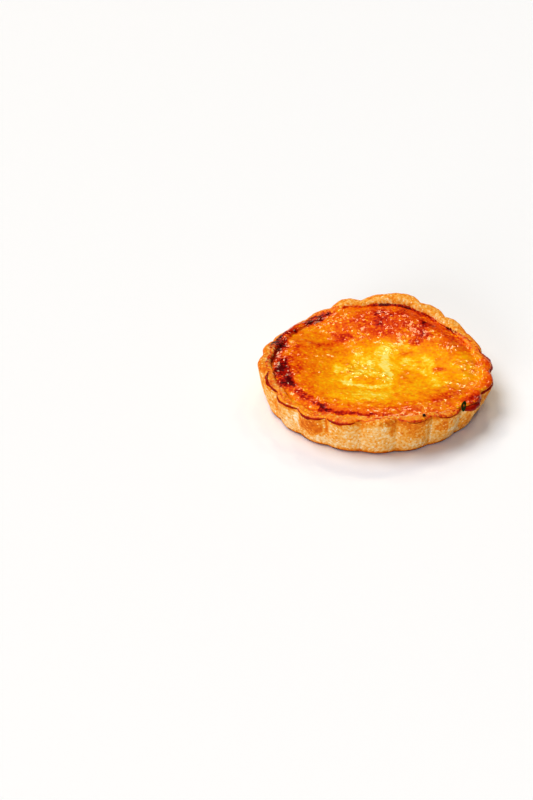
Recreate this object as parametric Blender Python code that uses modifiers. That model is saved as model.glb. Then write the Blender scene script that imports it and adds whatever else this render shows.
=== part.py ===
"""Elderflower tartlet: a fluted shortcrust case filled to the brim with baked custard.

Run it with blender --background --python part.py, or from Blender's text editor.
Units are metres and +Z is up. The origin is the centre of the flat foot, on the surface
that the tartlet stands on, and -Y is its front.
"""
import math

import bmesh
import bpy

MM = 0.001

# The pastry case: a flat foot, a wall that leans out, and a thick rim
FOOT_RADIUS = 42.1 * MM
RIM_RADIUS = 45.1 * MM      # mean, at the outer edge of the rim
RIM_HEIGHT = 14.9 * MM      # mean, from the foot to the top of the rim
WALL = 5.0 * MM             # pastry thickness at the rim
FLOOR = 3.5 * MM            # pastry thickness under the filling
WALL_BULGE = 0.5 * MM       # how far the wall swells out halfway up
EDGE_ROUND = 1.0 * MM       # rounding of the rim's corners
FOOT_ROUND = 0.8 * MM       # rounding of the foot's corner
CUP_ROUND = 2.0 * MM        # rounding of the corner between floor and wall inside

# The flutes that the tin pressed into the wall: outward lobes between sharp creases
FLUTES = 21
STEPS_PER_FLUTE = 6
FLUTE_DEPTH = 2.3 * MM      # at the rim
FLUTE_DEPTH_FOOT = 0.7 * MM
FIRST_CREASE = -147.5       # degrees from +X
CROWDING = 4.2              # degrees that the creases are shifted towards one side
CROWDED_SIDE = 37.0
FLUTE_SHOWN_INSIDE = 0.25   # how much of a flute shows on the inner face of the wall

# Hand-made unevenness of the rim: waves once, twice, ... round (size, degrees of a crest)
RADIUS_WAVES = {1: (0.4 * MM, 0.0), 2: (0.8 * MM, -75.0), 3: (1.0 * MM, -25.0)}
HEIGHT_WAVES = {1: (0.3 * MM, 90.0), 2: (1.3 * MM, 63.0), 3: (1.6 * MM, 54.0), 4: (0.7 * MM, -4.0)}
# Places where the rim stands out and up (or in and down): centre and half width in degrees,
# then how far out and how far up
RIM_SWELLS = (
    (-8.0, 24.0, 1.3 * MM, 0.4 * MM),
    (74.0, 21.0, 1.0 * MM, 1.2 * MM),
    (103.0, 10.0, 0.7 * MM, 0.9 * MM),
    (142.0, 32.0, -0.5 * MM, -0.7 * MM),
    (183.0, 26.0, 1.2 * MM, 0.0),
)
# Places where the flutes are pressed flat: centre, half width in degrees, share lost
FLAT_SPOTS = ((78.0, 12.0, 1.0), (142.0, 48.0, 0.9), (24.0, 26.0, 0.8))

# The custard, which stands a hair clear of the pastry
GAP = 0.3 * MM
LEVEL = 13.6 * MM           # height of its edge, where the rim is high enough to hold it
LEVEL_FOLLOWS = 0.2         # how much the edge rises and falls with the rim
EDGE_BELOW_RIM = 0.4 * MM   # the least that the rim stands above the custard's edge
CREST = 0.9 * MM            # puffed ring above the edge
CREST_AT = 0.84             # of the custard's radius
DISH = 1.3 * MM             # sunken middle below the edge
DISH_FLAT = 0.38            # radius of the sunken middle, of the custard's radius
SKIN_RINGS = 9              # rings of faces across the top

PASTRY_COLOUR = (0.80, 0.47, 0.20, 1.0)
CUSTARD_COLOUR = (0.90, 0.38, 0.03, 1.0)

STEPS = FLUTES * STEPS_PER_FLUTE
RIM_INNER = RIM_RADIUS - WALL
CUP_FOOT = FOOT_RADIUS - WALL
CUP_SLOPE = (RIM_INNER - CUP_FOOT) / RIM_HEIGHT


def near(angle, centre, half_width):
    """1 at the centre angle, falling smoothly to 0 at half_width degrees from it."""
    away = abs((angle - centre + 180.0) % 360.0 - 180.0)
    if away >= half_width:
        return 0.0
    return 0.5 + 0.5 * math.cos(math.pi * away / half_width)


def waves(angle, table):
    """Sum of the cosine waves in a table of {times round: (size, crest angle)}."""
    return sum(size * math.cos(math.radians(times * (angle - crest)))
               for times, (size, crest) in table.items())


def rim_lean(angle):
    """How far the rim stands outside its mean radius."""
    swells = sum(out * near(angle, at, half) for at, half, out, up in RIM_SWELLS)
    return waves(angle, RADIUS_WAVES) + swells


def rim_top(angle):
    """Height of the rim above the foot."""
    swells = sum(up * near(angle, at, half) for at, half, out, up in RIM_SWELLS)
    return RIM_HEIGHT + waves(angle, HEIGHT_WAVES) + swells


def shifted(turn):
    """Angle of a point that would lie at this turn if the flutes were evenly spaced."""
    return turn + CROWDING * math.cos(math.radians(turn - CROWDED_SIDE))


def flute(turn, angle):
    """Share of the flute depth by which the wall stands out (+) or in (-) here."""
    crease = 1.0 - abs(math.sin(math.radians(FLUTES * (turn - FIRST_CREASE) / 2.0)))
    kept = 1.0
    for centre, half_width, lost in FLAT_SPOTS:
        kept *= 1.0 - lost * near(angle, centre, half_width)
    return kept * (1.0 - 2.0 / math.pi - crease)


def wall_shift(turn, angle, share, inner):
    """Radial shift of the wall at a share of its height; inner is 0 outside, 1 inside."""
    depth = FLUTE_DEPTH_FOOT + (FLUTE_DEPTH - FLUTE_DEPTH_FOOT) * share
    depth *= 1.0 - inner * (1.0 - FLUTE_SHOWN_INSIDE)
    return share * rim_lean(angle) + depth * flute(turn, angle)


def arc(radius, centre, start, end, count=3):
    """Points (r, z) on an arc, from start to end degrees, both ends included."""
    turns = [math.radians(start + (end - start) * i / count) for i in range(count + 1)]
    return [(centre[0] + radius * math.cos(t), centre[1] + radius * math.sin(t))
            for t in turns]


def cup_radius(height):
    """Mean radius of the inner face of the wall at a height."""
    return CUP_FOOT + CUP_SLOPE * height


def case_profile():
    """Section of the pastry from the inside floor over the rim and down to the foot."""
    corner = (cup_radius(FLOOR + CUP_ROUND) - CUP_ROUND, FLOOR + CUP_ROUND)
    points = arc(CUP_ROUND, corner, -90.0, -10.0)
    points.append((cup_radius(RIM_HEIGHT * 0.6), RIM_HEIGHT * 0.6))
    top = RIM_HEIGHT - EDGE_ROUND
    points += arc(EDGE_ROUND, (RIM_INNER + EDGE_ROUND, top), 180.0, 90.0)
    points += arc(EDGE_ROUND, (RIM_RADIUS - EDGE_ROUND, top), 90.0, 0.0)
    for share in (0.7, 0.5, 0.3):
        bulge = WALL_BULGE * math.sin(math.pi * share)
        radius = FOOT_RADIUS + (RIM_RADIUS - FOOT_RADIUS) * share + bulge
        points.append((radius, RIM_HEIGHT * share))
    points += arc(FOOT_ROUND, (FOOT_RADIUS - FOOT_ROUND, FOOT_ROUND), 0.0, -90.0)
    return points


def custard_profile():
    """Section of the custard from the middle of its skin over the edge to its underside."""
    edge = cup_radius(LEVEL) - GAP
    points = []
    for ring in range(1, SKIN_RINGS + 1):
        reach = ring / SKIN_RINGS
        rise = min(1.0, max(0.0, (reach - DISH_FLAT) / (CREST_AT - DISH_FLAT)))
        fall = max(0.0, (reach - CREST_AT) / (1.0 - CREST_AT))
        smooth = rise * rise * (3.0 - 2.0 * rise)
        height = -DISH + (DISH + CREST) * smooth - CREST * fall ** 2
        points.append((edge * reach, LEVEL + height))
    lowest = FLOOR + GAP
    corner = (cup_radius(FLOOR + CUP_ROUND) - CUP_ROUND, FLOOR + CUP_ROUND)
    points.append((cup_radius(RIM_HEIGHT * 0.55) - GAP, RIM_HEIGHT * 0.55))
    points += arc(CUP_ROUND - GAP, corner, -10.0, -90.0)
    points[-1] = (points[-1][0], lowest)
    return points


def turned(name, profile):
    """Turn a profile round Z with a Screw modifier and close its two open ends."""
    mesh = bpy.data.meshes.new(name + "_profile")
    mesh.from_pydata([(r, 0.0, z) for r, z in profile],
                     [(i, i + 1) for i in range(len(profile) - 1)], [])
    blank = bpy.data.objects.new(name + "_profile", mesh)
    bpy.context.scene.collection.objects.link(blank)
    screw = blank.modifiers.new("turn", "SCREW")
    screw.steps = STEPS
    screw.render_steps = STEPS
    screw.use_merge_vertices = True
    screw.merge_threshold = 0.00001
    graph = bpy.context.evaluated_depsgraph_get()
    result = bpy.data.meshes.new_from_object(blank.evaluated_get(graph))
    result.name = name
    bpy.data.objects.remove(blank)
    work = bmesh.new()
    work.from_mesh(result)
    rims = [edge for edge in work.edges if edge.is_boundary]
    bmesh.ops.holes_fill(work, edges=rims)
    bmesh.ops.recalc_face_normals(work, faces=work.faces)
    work.to_mesh(result)
    work.free()
    return result


def turn_of(point):
    """Direction of a point in degrees, and its distance from the axis."""
    return math.degrees(math.atan2(point.y, point.x)), math.hypot(point.x, point.y)


def place(point, angle, radius, height):
    """Put a vertex at an angle in degrees, a radius and a height."""
    point.x = radius * math.cos(math.radians(angle))
    point.y = radius * math.sin(math.radians(angle))
    point.z = height


def press_case(mesh):
    """Give the turned case its flutes and its uneven rim."""
    for vertex in mesh.vertices:
        turn, radius = turn_of(vertex.co)
        angle = shifted(turn)
        height = vertex.co.z
        if height > FLOOR:
            stretch = (rim_top(angle) - FLOOR) / (RIM_HEIGHT - FLOOR)
            height = FLOOR + (height - FLOOR) * stretch
        share = min(1.0, height / rim_top(angle))
        outer = FOOT_RADIUS + (RIM_RADIUS - FOOT_RADIUS) * share
        inner = min(1.0, max(0.0, (outer - radius) / WALL))
        place(vertex.co, angle, radius + wall_shift(turn, angle, share, inner), height)


def press_custard(mesh):
    """Fit the turned custard to the pressed case, with its level nearly that of the rim."""
    for vertex in mesh.vertices:
        turn, radius = turn_of(vertex.co)
        angle = shifted(turn)
        top = rim_top(angle)
        edge = min(LEVEL + LEVEL_FOLLOWS * (top - RIM_HEIGHT), top - EDGE_BELOW_RIM)
        reach = min(1.0, radius / cup_radius(vertex.co.z))
        height = vertex.co.z
        if height > FLOOR + GAP:
            lift = (edge - LEVEL) * reach ** 2
            height += lift * (height - FLOOR - GAP) / (LEVEL - FLOOR - GAP)
        share = min(1.0, height / top)
        stretched = FLOOR + (height - FLOOR) * (RIM_HEIGHT - FLOOR) / (top - FLOOR)
        radius += CUP_SLOPE * (stretched - vertex.co.z) * reach
        shift = wall_shift(turn, angle, share, 1.0) * reach ** 4
        place(vertex.co, angle, radius + shift, height)


def material(name, colour, roughness):
    """A plain food finish."""
    finish = bpy.data.materials.new(name)
    finish.use_nodes = True
    shader = finish.node_tree.nodes["Principled BSDF"]
    shader.inputs["Base Color"].default_value = colour
    shader.inputs["Roughness"].default_value = roughness
    shader.inputs["Metallic"].default_value = 0.0
    return finish


def add_part(collection, mesh, finish):
    """Make a mesh a named part of the tartlet, shaded smooth between its creases."""
    mesh.materials.append(finish)
    mesh.shade_smooth()
    mesh.set_sharp_from_angle(angle=math.radians(35.0))
    part = bpy.data.objects.new(mesh.name, mesh)
    collection.objects.link(part)
    return part


def main():
    for old in list(bpy.data.objects):
        bpy.data.objects.remove(old)
    collection = bpy.data.collections.new("elderflower_tartlet")
    bpy.context.scene.collection.children.link(collection)

    case = turned("pastry_case", case_profile())
    press_case(case)
    add_part(collection, case, material("shortcrust", PASTRY_COLOUR, 0.75))

    custard = turned("custard", custard_profile())
    press_custard(custard)
    add_part(collection, custard, material("baked_custard", CUSTARD_COLOUR, 0.35))


main()
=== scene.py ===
# %% [markdown]
# # An elderflower tartlet
# A single-serving tart has two pieces: a fluted case of shortcrust pastry, and the custard
# that was baked in it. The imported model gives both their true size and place. This script
# builds the surfaces that the eye sees on that frame: the pressed flutes and crumbly wall
# of the case, the puffed and browned skin of the custard, the caramel where it boiled over
# the rim, and the curl of herb and the burnt crumb that lie on it.
#
# Everything is in metres, +Z is up, and the origin is the middle of the foot.

# %% Load the frame
import math

import bmesh
import bpy
import numpy as np
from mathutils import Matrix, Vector, noise
from mathutils.bvhtree import BVHTree


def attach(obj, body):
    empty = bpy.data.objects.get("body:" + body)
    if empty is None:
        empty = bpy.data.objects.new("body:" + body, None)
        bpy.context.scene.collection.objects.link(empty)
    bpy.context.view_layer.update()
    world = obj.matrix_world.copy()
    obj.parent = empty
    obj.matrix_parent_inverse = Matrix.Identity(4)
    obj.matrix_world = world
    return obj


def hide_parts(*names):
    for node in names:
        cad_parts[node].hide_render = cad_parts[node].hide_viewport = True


MM = 0.001
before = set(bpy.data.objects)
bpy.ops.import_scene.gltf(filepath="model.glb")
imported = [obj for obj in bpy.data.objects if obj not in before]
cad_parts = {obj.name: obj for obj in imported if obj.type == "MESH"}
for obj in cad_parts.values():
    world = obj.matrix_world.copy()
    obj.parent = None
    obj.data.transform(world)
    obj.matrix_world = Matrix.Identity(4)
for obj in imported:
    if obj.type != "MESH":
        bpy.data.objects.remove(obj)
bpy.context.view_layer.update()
print("nodes:", sorted(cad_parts))


def new_object(name, data):
    """An object in the scene that shows this data."""
    item = bpy.data.objects.new(name, data)
    bpy.context.scene.collection.objects.link(item)
    return item


# %% [markdown]
# ## Camera, floor and light
# The tartlet is seen from the front, 34 degrees above the table, through a 100 mm lens at
# about 0.88 m, and stands to the right of the middle of the frame. The table is a plain
# pale sheet. The light is a bright, airy studio. Sun lamps with a wide angle stand in for
# soft boxes far away, because they light the whole sheet evenly. A broad key high on the
# left throws a soft, short shadow to the right, a low one in front opens up the near wall,
# and a cool ceiling fills the shadows. Four narrow, warm windows behind add little light;
# they are there to be mirrored, as glints, by the small domes of the wet skin.

# %% Camera
CAMERA_PLACE = (-42.2 * MM, -731.6 * MM, 489.8 * MM)
CAMERA_DOWN = 34.0
LENS_MM = 100.0

camera_data = bpy.data.cameras.new("camera")
camera_data.lens = LENS_MM
camera_data.sensor_width = 36.0
camera = new_object("camera", camera_data)
camera.location = CAMERA_PLACE
camera.rotation_euler = (math.radians(90.0 - CAMERA_DOWN), 0.0, 0.0)
bpy.context.scene.camera = camera
print("camera to tart:", round(math.dist(CAMERA_PLACE, (0.0, 0.0, 0.0)), 3), "m")

# %% Light
ROOM_LIGHT = 0.04
WHITE = (1.0, 1.0, 1.0)
WARM = (1.0, 0.85, 0.55)
COOL = (0.75, 0.86, 1.0)


def far_box(name, bearing, climb, width, power, colour=WHITE):
    """A far soft box: its bearing from +X, its climb and its width are in degrees."""
    data = bpy.data.lights.new(name, "SUN")
    data.angle = math.radians(width)
    data.energy = power
    data.color = colour
    lamp = new_object(name, data)
    turn, rise = math.radians(bearing), math.radians(climb)
    lamp.location = (math.cos(rise) * math.cos(turn), math.cos(rise) * math.sin(turn),
                     math.sin(rise))
    lamp.rotation_euler = (-lamp.location).to_track_quat("-Z", "Y").to_euler()


far_box("key_box", 166.0, 60.0, 40.0, 2.1)
far_box("front_box", -116.0, 14.0, 26.0, 1.3)
far_box("ceiling_box", 0.0, 88.0, 100.0, 0.4, COOL)
far_box("window_box", 80.0, 50.0, 9.0, 0.36, WARM)
far_box("low_window_box", 98.0, 28.0, 7.0, 0.12, WARM)
far_box("left_window_box", 114.0, 42.0, 7.0, 0.3, WARM)
far_box("right_window_box", 54.0, 42.0, 7.0, 0.3, WARM)
world = bpy.data.worlds.new("white_room")
world.use_nodes = True
background = world.node_tree.nodes["Background"]
background.inputs["Color"].default_value = (0.85, 0.92, 1.0, 1.0)
background.inputs["Strength"].default_value = ROOM_LIGHT
bpy.context.scene.world = world
bpy.context.scene.view_settings.view_transform = "Standard"
print("lights:", [item.name for item in bpy.data.lights])

# %% [markdown]
# ## Formulas as nodes
# The case, the custard skin and every finish are node trees, and most of a tree is
# arithmetic. Wiring each sum by hand hides the formula, so a small class wraps a socket
# and gives it ordinary arithmetic: `a * b + 1` adds the Math nodes and the links. The same
# class works in Geometry Nodes and in shaders, because both share the Math, Map Range,
# Noise and Voronoi nodes.

# %% A socket with arithmetic
class Value:
    """A number or vector field in a node tree that can be added, multiplied and so on."""

    def __init__(self, tree, socket):
        self.tree = tree
        self.socket = socket

    def __add__(self, other):
        return calc("ADD", self, other)

    def __sub__(self, other):
        return calc("SUBTRACT", self, other)

    def __rsub__(self, other):
        return calc("SUBTRACT", other, self)

    def __mul__(self, other):
        return calc("MULTIPLY", self, other)

    def __truediv__(self, other):
        return calc("DIVIDE", self, other)

    def __abs__(self):
        return calc("ABSOLUTE", self)

    __radd__ = __add__
    __rmul__ = __mul__


def feed(tree, slot, item):
    """Link a Value to an input, or set the input to a plain number, vector or colour."""
    if isinstance(item, Value):
        tree.links.new(item.socket, slot)
    else:
        slot.default_value = item


def add_node(kind, *items, **settings):
    """A node fed in order by these items, one or more a Value: (node, its first output)."""
    tree = next(item.tree for item in items if isinstance(item, Value))
    node = tree.nodes.new(kind)
    for label, value in settings.items():
        setattr(node, label, value)
    for slot, item in zip(node.inputs, items):
        feed(tree, slot, item)
    return node, Value(tree, node.outputs[0])


def calc(operation, *items):
    """One Math node."""
    return add_node("ShaderNodeMath", *items, operation=operation)[1]


def spread(value, low, high, start=0.0, end=1.0, kind="SMOOTHSTEP"):
    """Map low..high to start..end, held at both ends."""
    return add_node("ShaderNodeMapRange", value, low, high, start, end,
                    interpolation_type=kind)[1]


def blend(share, start, end):
    """start where share is 0, end where it is 1; it works for numpy arrays too."""
    return share * (end - start) + start


def split(vector):
    """The x, y and z of a vector field."""
    node = add_node("ShaderNodeSeparateXYZ", vector)[0]
    return [Value(vector.tree, out) for out in node.outputs]


def join(x, y, z=0.0):
    """A vector field from its x, y and z."""
    return add_node("ShaderNodeCombineXYZ", x, y, z)[1]


def cloud(place, size, detail=2.0, seed=0.0, roughness=0.5):
    """Soft noise from about -1 to 1, with features of about this size in metres."""
    height = add_node("ShaderNodeTexNoise", place, seed, 1.0 / size, detail, roughness,
                      noise_dimensions="4D")[1]
    return (height - 0.5) * 2.0


def bubbles(place, size, low, high, seed=0.0):
    """1 in the middle of each scattered cell of this size, 0 from high cell sizes out."""
    distance = add_node("ShaderNodeTexVoronoi", place, seed, 1.0 / size,
                        voronoi_dimensions="4D")[1]
    return spread(distance, low, high, 1.0, 0.0)


print("node helpers ready")

# %% [markdown]
# ## Geometry node trees
# Each tree has named inputs. A modifier stores their values under each socket's
# identifier, so one helper makes the sockets, and another fills the modifier, evaluates
# the object and hands back a plain mesh without the modifier.

# %% Make and run a geometry tree
def new_tree(name, sizes):
    """A geometry tree with these named numbers: (tree, geometry in, {name: Value})."""
    tree = bpy.data.node_groups.new(name, "GeometryNodeTree")
    tree.interface.new_socket("Geometry", in_out="INPUT", socket_type="NodeSocketGeometry")
    tree.interface.new_socket("Material", in_out="INPUT", socket_type="NodeSocketMaterial")
    for label in sizes:
        tree.interface.new_socket(label, in_out="INPUT", socket_type="NodeSocketFloat")
    tree.interface.new_socket("Geometry", in_out="OUTPUT", socket_type="NodeSocketGeometry")
    start = tree.nodes.new("NodeGroupInput")
    values = {label: Value(tree, start.outputs[label]) for label in (*sizes, "Material")}
    return tree, Value(tree, start.outputs["Geometry"]), values


def move_points(geometry, way, value):
    """A Set Position node, fed with a Position or an Offset."""
    node, geometry = add_node("GeometryNodeSetPosition", geometry)
    feed(geometry.tree, node.inputs[way], value)
    return geometry


def push_out(geometry, distance):
    """Move each point along its normal."""
    tree = geometry.tree
    node, along = add_node("ShaderNodeVectorMath", field(tree, "GeometryNodeInputNormal"),
                           operation="SCALE")
    feed(tree, node.inputs["Scale"], distance)
    return move_points(geometry, "Offset", along)


def store(geometry, name, value):
    """Keep a number field on the mesh as a named attribute, for the material to read."""
    node, geometry = add_node("GeometryNodeStoreNamedAttribute", geometry, data_type="FLOAT")
    node.inputs["Name"].default_value = name
    feed(geometry.tree, node.inputs["Value"], value)
    return geometry


def field(tree, kind):
    """The first output of an input node such as Position or Normal."""
    return Value(tree, tree.nodes.new(kind).outputs[0])


def named(tree, name):
    """A named number attribute of the incoming mesh."""
    node = tree.nodes.new("GeometryNodeInputNamedAttribute")
    node.data_type = "FLOAT"
    node.inputs["Name"].default_value = name
    return Value(tree, node.outputs[0])


def end_tree(geometry, material):
    """Realize Instances, Shade Smooth, Set Material and the output; returns the tree."""
    geometry = add_node("GeometryNodeRealizeInstances", geometry)[1]
    geometry = add_node("GeometryNodeSetShadeSmooth", geometry)[1]
    node, geometry = add_node("GeometryNodeSetMaterial", geometry)
    feed(geometry.tree, node.inputs["Material"], material)
    end = geometry.tree.nodes.new("NodeGroupOutput")
    feed(geometry.tree, end.inputs[0], geometry)
    return geometry.tree


def run_tree(name, start_mesh, tree, material, sizes):
    """Run a geometry tree on a mesh and return the result as a plain mesh object."""
    piece = new_object(name, start_mesh)
    modifier = piece.modifiers.new("shape", "NODES")
    modifier.node_group = tree
    given = {**sizes, "Material": material}
    for item in tree.interface.items_tree:
        if item.in_out == "INPUT" and item.name in given:
            modifier[item.identifier] = given[item.name]
    piece.data.update()
    graph = bpy.context.evaluated_depsgraph_get()
    mesh = bpy.data.meshes.new_from_object(piece.evaluated_get(graph))
    piece.modifiers.remove(modifier)
    piece.data = mesh
    bpy.data.meshes.remove(start_mesh)
    mesh.name = name
    return piece


print("geometry helpers ready")

# %% [markdown]
# ## Working on plain meshes
# Where the browning, the glaze and the caramel lie follows no simple rule: it is where this
# tart happened to catch the heat. So they are painted on the finished meshes as number
# attributes, from short lists of spots in millimetres, and the materials turn the numbers
# into colour. Numpy does it for all points at once.

# %% Helpers for meshes and paint
def points_of(mesh):
    """The mesh's vertices as a numpy array."""
    flat = np.zeros(len(mesh.vertices) * 3, np.float32)
    mesh.vertices.foreach_get("co", flat)
    return flat.reshape(-1, 3).astype(float)


def paint(mesh, name, values):
    """Write a number for each point as an attribute."""
    layer = mesh.attributes.get(name) or mesh.attributes.new(name, "FLOAT", "POINT")
    layer.data.foreach_set("value", np.asarray(values, np.float32).ravel())


def ease(value, low, high):
    """0 at low, 1 at high, smooth between; low may be the larger."""
    share = np.clip((value - low) / (high - low), 0.0, 1.0)
    return share * share * (3.0 - 2.0 * share)


def turn_of(points):
    """The angle of each point round the middle, in degrees."""
    return np.degrees(np.arctan2(points[:, 1], points[:, 0]))


def turn_from(angle, centre):
    """How far an angle is from another the short way round, -180 to 180 degrees."""
    return (angle - centre + 180.0) % 360.0 - 180.0


def bell(angle, centre, half_width):
    """1 at the centre angle, falling smoothly to 0 at half_width degrees from it."""
    away = np.abs(turn_from(angle, centre)) / half_width
    return 0.5 + 0.5 * np.cos(math.pi * np.minimum(away, 1.0))


def bells(angle, table):
    """The sum of the bells in a table of (centre, half width, amount)."""
    return sum(bell(angle, centre, half_width) * amount for centre, half_width, amount in table)


def rough_noise(points, size, seed):
    """Fractal noise in three octaves, from about -1 to 1, at each point."""
    shift = Vector((seed * 7.3, seed * 3.1, seed * 5.7))
    smoothness, step_up, octaves = 0.6, 2.1, 3
    return np.array([noise.fractal(Vector(p) / size + shift, smoothness, step_up, octaves)
                     for p in points])


def band(ring, next_ring):
    """Quads between two rings of point numbers."""
    return np.stack([np.roll(ring, -1), ring, next_ring, np.roll(next_ring, -1)],
                    axis=1).tolist()


def turn_outwards(mesh, weld=None):
    """Turn the faces of a closed mesh outwards, after merging points closer than weld."""
    work = bmesh.new()
    work.from_mesh(mesh)
    if weld:
        bmesh.ops.remove_doubles(work, verts=work.verts, dist=weld)
    bmesh.ops.recalc_face_normals(work, faces=work.faces)
    if work.calc_volume(signed=True) < 0.0:
        bmesh.ops.reverse_faces(work, faces=work.faces)
    work.to_mesh(mesh)
    work.free()


def closed_mesh(name, points, faces):
    """A smooth mesh from points and faces, with its faces turned outwards."""
    mesh = bpy.data.meshes.new(name)
    mesh.from_pydata([tuple(p) for p in points], [], faces)
    mesh.validate()
    turn_outwards(mesh)
    mesh.shade_smooth()
    return mesh


def report(piece):
    """Print a piece's size, triangles, open edges and volume."""
    work = bmesh.new()
    work.from_mesh(piece.data)
    open_edges = sum(1 for edge in work.edges if not edge.is_manifold)
    volume = work.calc_volume(signed=True) / MM ** 3
    triangles = sum(len(face.verts) - 2 for face in work.faces)
    work.free()
    size = np.ptp(points_of(piece.data), axis=0) / MM
    print(f"{piece.name}: {np.round(size, 1)} mm, {triangles} triangles, "
          f"{open_edges} open edges, {volume:.0f} mm3")


print("mesh helpers ready")

# %% [markdown]
# ## Finishes
# A finish is a Principled shader fed by a few fields. Two effects are shared, so they are
# node groups. "Baked skin" turns a number, how browned the place is, into the colours that
# egg and sugar go through in an oven: pale yellow, gold, orange, rust and maroon. It breaks
# the number up first, with noise and with small round pimples that stay golden; these pale
# pimples are partly painted glints, specks of highlight painted into the colour.
# "Fine grain" is the smallest roughness, for the bump.

# %% Shader helpers
def linear(red, green, blue):
    """A colour given on a 0-255 scale, as the linear values a shader wants."""
    return tuple(((v / 255.0 + 0.055) / 1.055) ** 2.4 if v > 10 else v / 255.0 / 12.92
                 for v in (red, green, blue)) + (1.0,)


def shader_group(name, inputs, outputs):
    """A shader group: (tree, {input: Value}, output node)."""
    tree = bpy.data.node_groups.new(name, "ShaderNodeTree")
    for label, default in inputs.items():
        socket = tree.interface.new_socket(label, in_out="INPUT",
                                           socket_type="NodeSocketFloat")
        socket.default_value = default
    for label, kind in outputs.items():
        tree.interface.new_socket(label, in_out="OUTPUT", socket_type=kind)
    start = tree.nodes.new("NodeGroupInput")
    end = tree.nodes.new("NodeGroupOutput")
    return tree, {label: Value(tree, start.outputs[label]) for label in inputs}, end


def use_group(tree, group, **values):
    """Place a shader group and feed it: {output name: Value}."""
    node = tree.nodes.new("ShaderNodeGroup")
    node.node_tree = group
    for label, item in values.items():
        feed(tree, node.inputs[label], item)
    return {out.name: Value(tree, out) for out in node.outputs}


def object_place(tree):
    """Object coordinates, in metres."""
    return Value(tree, tree.nodes.new("ShaderNodeTexCoord").outputs["Object"])


def painted(tree, name):
    """A number painted on the mesh."""
    node = tree.nodes.new("ShaderNodeAttribute")
    node.attribute_name = name
    return Value(tree, node.outputs["Fac"])


def ramp(value, stops):
    """A colour ramp with stops of (place, colour)."""
    node, ramp_colour = add_node("ShaderNodeValToRGB", value)
    elements = node.color_ramp.elements
    while len(elements) < len(stops):
        elements.new(0.5)
    for element, (place, colour) in zip(elements, stops):
        element.position = place
        element.color = colour
    return ramp_colour


def tint(share, start, end):
    """Mix two colours by a share."""
    node = add_node("ShaderNodeMix", share, data_type="RGBA")[0]
    feed(share.tree, node.inputs["A"], start)
    feed(share.tree, node.inputs["B"], end)
    return Value(share.tree, node.outputs["Result"])


def new_material(name):
    """A material and its node tree, which starts out with a Principled shader."""
    material = bpy.data.materials.new(name)
    material.use_nodes = True
    return material, material.node_tree


def set_shader(material, **inputs):
    """Feed the inputs of the Principled shader; an underscore stands for a space."""
    tree = material.node_tree
    shader = tree.nodes["Principled BSDF"]
    for label, item in inputs.items():
        feed(tree, shader.inputs[label.replace("_", " ")], item)
    print(material.name, "has", len(tree.nodes), "nodes")


print("shader helpers ready")

# %% Shared group: baked skin
skin_group, skin_in, skin_end = shader_group(
    "Baked skin", {"Browned": 0.5, "Proud": 0.0, "Speckle": 0.12, "Pimples": 0.0},
    {"Color": "NodeSocketColor", "Heat": "NodeSocketFloat"})
place = object_place(skin_group)
mottle = cloud(place, 4.5 * MM, 2.0, 1.0) * 1.1 + cloud(place, 1.8 * MM, 2.0, 2.0) * 0.9
heat = skin_in["Browned"] + (mottle + cloud(place, 0.9 * MM, 1.0, 3.0)) * skin_in["Speckle"]
# pale pimples: golden specks, and partly painted glints that stand in for highlights
heat = heat + (0.1 - bubbles(place, 1.3 * MM, 0.1, 0.5, 4.0)) * skin_in["Pimples"]
heat = heat + skin_in["Proud"] * 0.1
skin_colour = ramp(heat, (
    (0.00, linear(255, 230, 116)),
    (0.10, linear(255, 210, 46)),
    (0.22, linear(255, 182, 0)),
    (0.36, linear(254, 152, 0)),
    (0.50, linear(245, 122, 0)),
    (0.62, linear(236, 88, 0)),
    (0.74, linear(216, 52, 0)),
    (0.86, linear(176, 16, 0)),
    (0.94, linear(130, 2, 0)),
    (1.00, linear(82, 0, 2))))
feed(skin_group, skin_end.inputs["Color"], skin_colour)
feed(skin_group, skin_end.inputs["Heat"], heat)
print("baked skin:", len(skin_group.nodes), "nodes")

# %% Shared group: fine grain
grain_group, grain_in, grain_end = shader_group(
    "Fine grain", {"Coarse": 1.0, "Fine": 0.5}, {"Height": "NodeSocketFloat"})
place = object_place(grain_group)
height = cloud(place, 0.9 * MM, 2.0, 5.0) * grain_in["Coarse"]
height = height + cloud(place, 0.35 * MM, 1.0, 6.0) * grain_in["Fine"]
feed(grain_group, grain_end.inputs["Height"], height * 0.5 + 0.5)


def grain_normal(tree, coarse, fine, depth):
    """The normal, bumped with fine grain this deep in metres."""
    grain = use_group(tree, grain_group, Coarse=coarse, Fine=fine)
    bump = tree.nodes.new("ShaderNodeBump")
    bump.inputs["Distance"].default_value = depth
    feed(tree, bump.inputs["Height"], grain["Height"])
    return Value(tree, bump.outputs["Normal"])


print("fine grain:", len(grain_group.nodes), "nodes")

# %% [markdown]
# ### The custard's skin
# Custard is a set gel under a thin egg skin. The skin is smooth but mirrors weakly, and
# its gloss is tinted orange, so that dark patches stay deep red instead of going grey. Where
# it is pale it has thin, still paler veins, and where it is moist a clear coat is laid over it
# in patches, for the white glints. Subsurface would show the light that wanders inside the
# gel, but it renders slowly and with grain, so that glow is mixed into the colours instead.

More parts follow.
